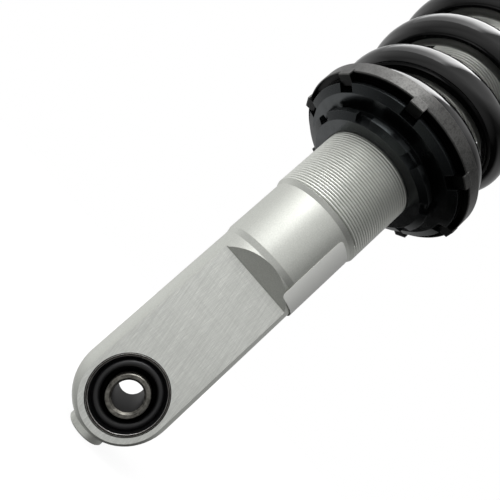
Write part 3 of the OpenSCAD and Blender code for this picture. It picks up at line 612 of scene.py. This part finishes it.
# The studs' M10 threads run from the plate to their tips, and the rod's end has a fine one.
# Both are cut 0.61 of their pitch deep.
screw_r = 5.0 * mm
screw_depth = 0.61
screw_steps = 32
stud_circle_r = 62.0 * mm
stud_pitch = 1.5 * mm
tip_chamfer = 1.0 * mm
plate_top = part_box("mount_plate")[1].z
stud_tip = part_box("mount_studs")[1].z
stud_root_r = screw_r - screw_depth * stud_pitch
stud_turns = int((stud_tip - tip_chamfer - plate_top) / stud_pitch) - 1
thread_foot = plate_top + 1.2 * stud_pitch
bm = merged_copy("mount_studs")
ridges = bmesh.new()
for stud_angle in (0, 120, 240):
    turn = math.radians(stud_angle)
    centre = (stud_circle_r * math.cos(turn), stud_circle_r * math.sin(turn))
    cut_to_root(bm, centre, screw_r, stud_root_r, thread_foot,
                thread_foot + stud_turns * stud_pitch)
    ridge = thread_ridge(centre, screw_r - crest_gap, stud_root_r, stud_pitch, thread_foot,
                         stud_turns, turn, screw_steps)
    ridges.from_mesh(as_mesh(ridge, "ridge"))
as_piece(bm, "studs", zinc, "top_mount", ["mount_studs"])
as_piece(ridges, "stud_threads", zinc, "top_mount")

rod_pitch = 1.25 * mm
rod_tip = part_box("piston_rod")[1].z
nut_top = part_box("top_nut")[1].z
rod_root_r = screw_r - screw_depth * rod_pitch
tail_foot = nut_top - 2 * rod_pitch
tail_turns = int((rod_tip - tip_chamfer - tail_foot) / rod_pitch)
bm = merged_copy("piston_rod")
cut_to_root(bm, (0, 0), screw_r, rod_root_r, tail_foot, tail_foot + tail_turns * rod_pitch)
as_piece(bm, "rod", chrome, "rod_group", ["piston_rod"])
bm = thread_ridge((0, 0), screw_r - crest_gap, rod_root_r, rod_pitch, tail_foot, tail_turns,
                  0, screw_steps)
as_piece(bm, "rod_thread", zinc, "rod_group")

# ---------------------------------------------------------------- Floor, light and camera
# A plain pale floor under a white surround, one big soft light from the left and above,
# and the camera close to the foot, looking up along the strut.
floor_gap = 0.6 * mm
floor_z = cad_box[0].z - floor_gap
floor_half = 4.0
bm = bmesh.new()
bmesh.ops.create_grid(bm, x_segments=1, y_segments=1, size=floor_half)
bmesh.ops.translate(bm, verts=bm.verts, vec=(0, 0, floor_z))
floor = as_object(bm, "floor")
floor_paper = bpy.data.materials.new("floor_paper")
floor_paper.use_nodes = True
tree = floor_paper.node_tree
tree.nodes.clear()

# Only the camera sees the floor. It is a touch grey under the strut and white further out.
path = add(tree, "ShaderNodeLightPath")
spot = add(tree, "ShaderNodeTexCoord")
distance = add(tree, "ShaderNodeVectorMath", {0: spot.outputs["Object"]}, operation="LENGTH")
paleness = ramp(tree, distance.outputs["Value"], 0.15, 0.5, 0.93, 1.0)
shaded = add(tree, "ShaderNodeBsdfDiffuse", {"Color": (0.12, 0.12, 0.12, 1)})
white = add(tree, "ShaderNodeEmission", {"Color": (1, 1, 1, 1), "Strength": paleness})
seen = add(tree, "ShaderNodeAddShader", {0: shaded.outputs[0], 1: white.outputs[0]})
clear = add(tree, "ShaderNodeBsdfTransparent")
mix = add(tree, "ShaderNodeMixShader", {0: path.outputs["Is Camera Ray"],
                                        1: clear.outputs[0], 2: seen.outputs[0]})
add(tree, "ShaderNodeOutputMaterial", {"Surface": mix.outputs[0]})
floor.data.materials.append(floor_paper)


def facing(right, up, out):
    """The turn that takes X, Y and Z to three directions."""
    return Matrix((right, up, out)).transposed().to_4x4()


# The soft light: a tall panel that leans over the strut, brighter towards its right side
# and its top, and fading at its right edge
panel_out = Vector((0.334, -0.853, 0.4)).normalized()
panel_up = Vector((0.046, 0.441, 0.897)).normalized()
panel_right = panel_up.cross(panel_out)
panel_away = 1.0
panel_shift = 0.08
panel_drop = 0.34
panel_width = 1.35
panel_edge = 0.25
panel_height = 2.42
panel_lean = 0.4
lit_point = Vector((0, 0, 0.19))
panel_foot = (lit_point + panel_away * panel_out + panel_shift * panel_right
              - panel_drop * panel_up)
panel_centre = (panel_foot + 0.5 * panel_edge * panel_right
                + 0.5 * panel_height * (panel_up - panel_lean * panel_right))
bm = bmesh.new()
bmesh.ops.create_grid(bm, x_segments=1, y_segments=1, size=0.5)
slant = Matrix(((1, -panel_lean, 0, 0), (0, 1, 0, 0), (0, 0, 1, 0), (0, 0, 0, 1)))
size = Matrix.Diagonal((panel_width + panel_edge, panel_height, 1, 1))
bmesh.ops.transform(bm, verts=bm.verts,
                    matrix=Matrix.Translation(panel_centre)
                    @ facing(panel_right, panel_up, panel_out) @ slant @ size)
bmesh.ops.reverse_faces(bm, faces=bm.faces)
panel = as_object(bm, "soft_panel")
panel.visible_camera = False
panel_glow = bpy.data.materials.new("panel_glow")
panel_glow.use_nodes = True
tree = panel_glow.node_tree
tree.nodes.clear()
place = add(tree, "ShaderNodeTexCoord").outputs["Object"]

# Across the panel: it brightens from its left side to its right, then fades at the edge
slanted_right = panel_right + panel_lean * panel_up
sideways = dot(tree, place, slanted_right)
middle = panel_foot.dot(slanted_right)
left_side = middle - panel_width / 2
right_side = middle + panel_width / 2
fade_start = 0.05
steepness = 1.7
share = ramp(tree, sideways, left_side, right_side, 0.0, 1.0)
fade = ramp(tree, sideways, right_side - fade_start, right_side + panel_edge, 1.0, 0.25)
level = ramp(tree, maths(tree, "POWER", share, steepness), 0.0, 1.0, 0.85, 2.65)
faded = maths(tree, "MULTIPLY", level, fade)

# Up the panel: it is three times as bright above a band over its foot
foot_line = panel_foot.dot(panel_up)
band_low = 0.42
band_high = 0.82
tall = ramp(tree, dot(tree, place, panel_up), foot_line + band_low, foot_line + band_high,
            1.0, 3.0)
strong = maths(tree, "MULTIPLY", faded, tall)

# Only the face towards the strut is lit
side_seen = add(tree, "ShaderNodeNewGeometry")
front = maths(tree, "SUBTRACT", 1.0, side_seen.outputs["Backfacing"])
glow = add(tree, "ShaderNodeEmission", {"Color": (1, 1, 1, 1),
                                        "Strength": maths(tree, "MULTIPLY", strong, front)})
add(tree, "ShaderNodeOutputMaterial", {"Surface": glow.outputs[0]})
panel.data.materials.append(panel_glow)

# The surround: white to the camera, and for the strut a white backdrop behind it and on
# its left that falls off to a dark room at the front and right
world = bpy.data.worlds.new("surround")
bpy.context.scene.world = world
world.use_nodes = True
tree = world.node_tree
tree.nodes.clear()
path = add(tree, "ShaderNodeLightPath")
toward = add(tree, "ShaderNodeTexCoord").outputs["Generated"]
light_side = Vector((0.453, -0.785, 0.423))
lightward = ramp(tree, dot(tree, toward, light_side), -1.0, 1.0, 0.0, 1.0)
fall = add(tree, "ShaderNodeValToRGB", {"Fac": lightward})
stops = fall.color_ramp.elements
stops[0].position, stops[0].color = 0.12, (0.02, 0.02, 0.02, 1)
stops[1].position, stops[1].color = 0.95, (0.5, 0.5, 0.5, 1)
for position, value in ((0.35, 0.1), (0.5, 0.4), (0.62, 0.78), (0.8, 0.74)):
    stops.new(position).color = (value, value, value, 1)
elevation = add(tree, "ShaderNodeSeparateXYZ", {"Vector": toward}).outputs["Z"]
sink = ramp(tree, elevation, -0.6, -0.1, 0.4, 1.0)
room = maths(tree, "MULTIPLY", fall.outputs["Color"], sink)


def lobe(direction, start, full, level):
    """Light from round one direction, none at the start cosine and all at the full one."""
    lined_up = dot(tree, toward, Vector(direction).normalized())
    return ramp(tree, lined_up, start, full, 0.0, level)


# A broad glow low on the left, a small bright patch within it, and what the floor returns
left_level = lobe((-0.75, -0.5, -0.45), 0.76, 0.92, 0.38)
patch_level = lobe((-0.85, -0.08, -0.52), 0.975, 0.995, 0.75)
floor_level = lobe((0.4, 0.1, -0.9), 0.6, 0.95, 0.22)
for part in (left_level, patch_level, floor_level):
    room = maths(tree, "ADD", room, part)

# The white backdrop is seen by the camera, and by the strut in its reflections
rise = ramp(tree, elevation, -0.42, -0.22, 0.0, 1.0)
backdrop = maths(tree, "MULTIPLY", lobe((-0.766, 0.643, 0.0), 0.2, 0.8, 0.45), rise)
mirrored = maths(tree, "ADD", path.outputs["Is Glossy Ray"], path.outputs["Is Transmission Ray"])
shown = maths(tree, "MULTIPLY_ADD", mirrored, backdrop, path.outputs["Is Camera Ray"], clamp=True)
surround = tint(tree, shown, room, (1, 1, 1))
sky = add(tree, "ShaderNodeBackground", {"Color": surround, "Strength": 1.0})
add(tree, "ShaderNodeOutputWorld", {"Surface": sky.outputs[0]})

# Camera: a short lens close to the foot
lens = bpy.data.cameras.new("camera")
lens.lens = 30.41
lens.sensor_width = 36.0
lens.shift_x = 0.0170
lens.shift_y = 0.0517
lens.clip_start = 0.01
camera = bpy.data.objects.new("camera", lens)
bpy.context.scene.collection.objects.link(camera)
stand = Vector((0.211193, -0.025830, 0.042553))
aim = Vector((-0.98242, 0.09978, 0.15775)).normalized()
up = Vector((0.02980, -0.75047, 0.66023)).normalized()
side = aim.cross(up)
camera.matrix_world = Matrix.Translation(stand) @ facing(side, side.cross(aim), -aim)
bpy.context.scene.camera = camera
bpy.context.scene.view_settings.view_transform = "Standard"

bpy.context.view_layer.update()
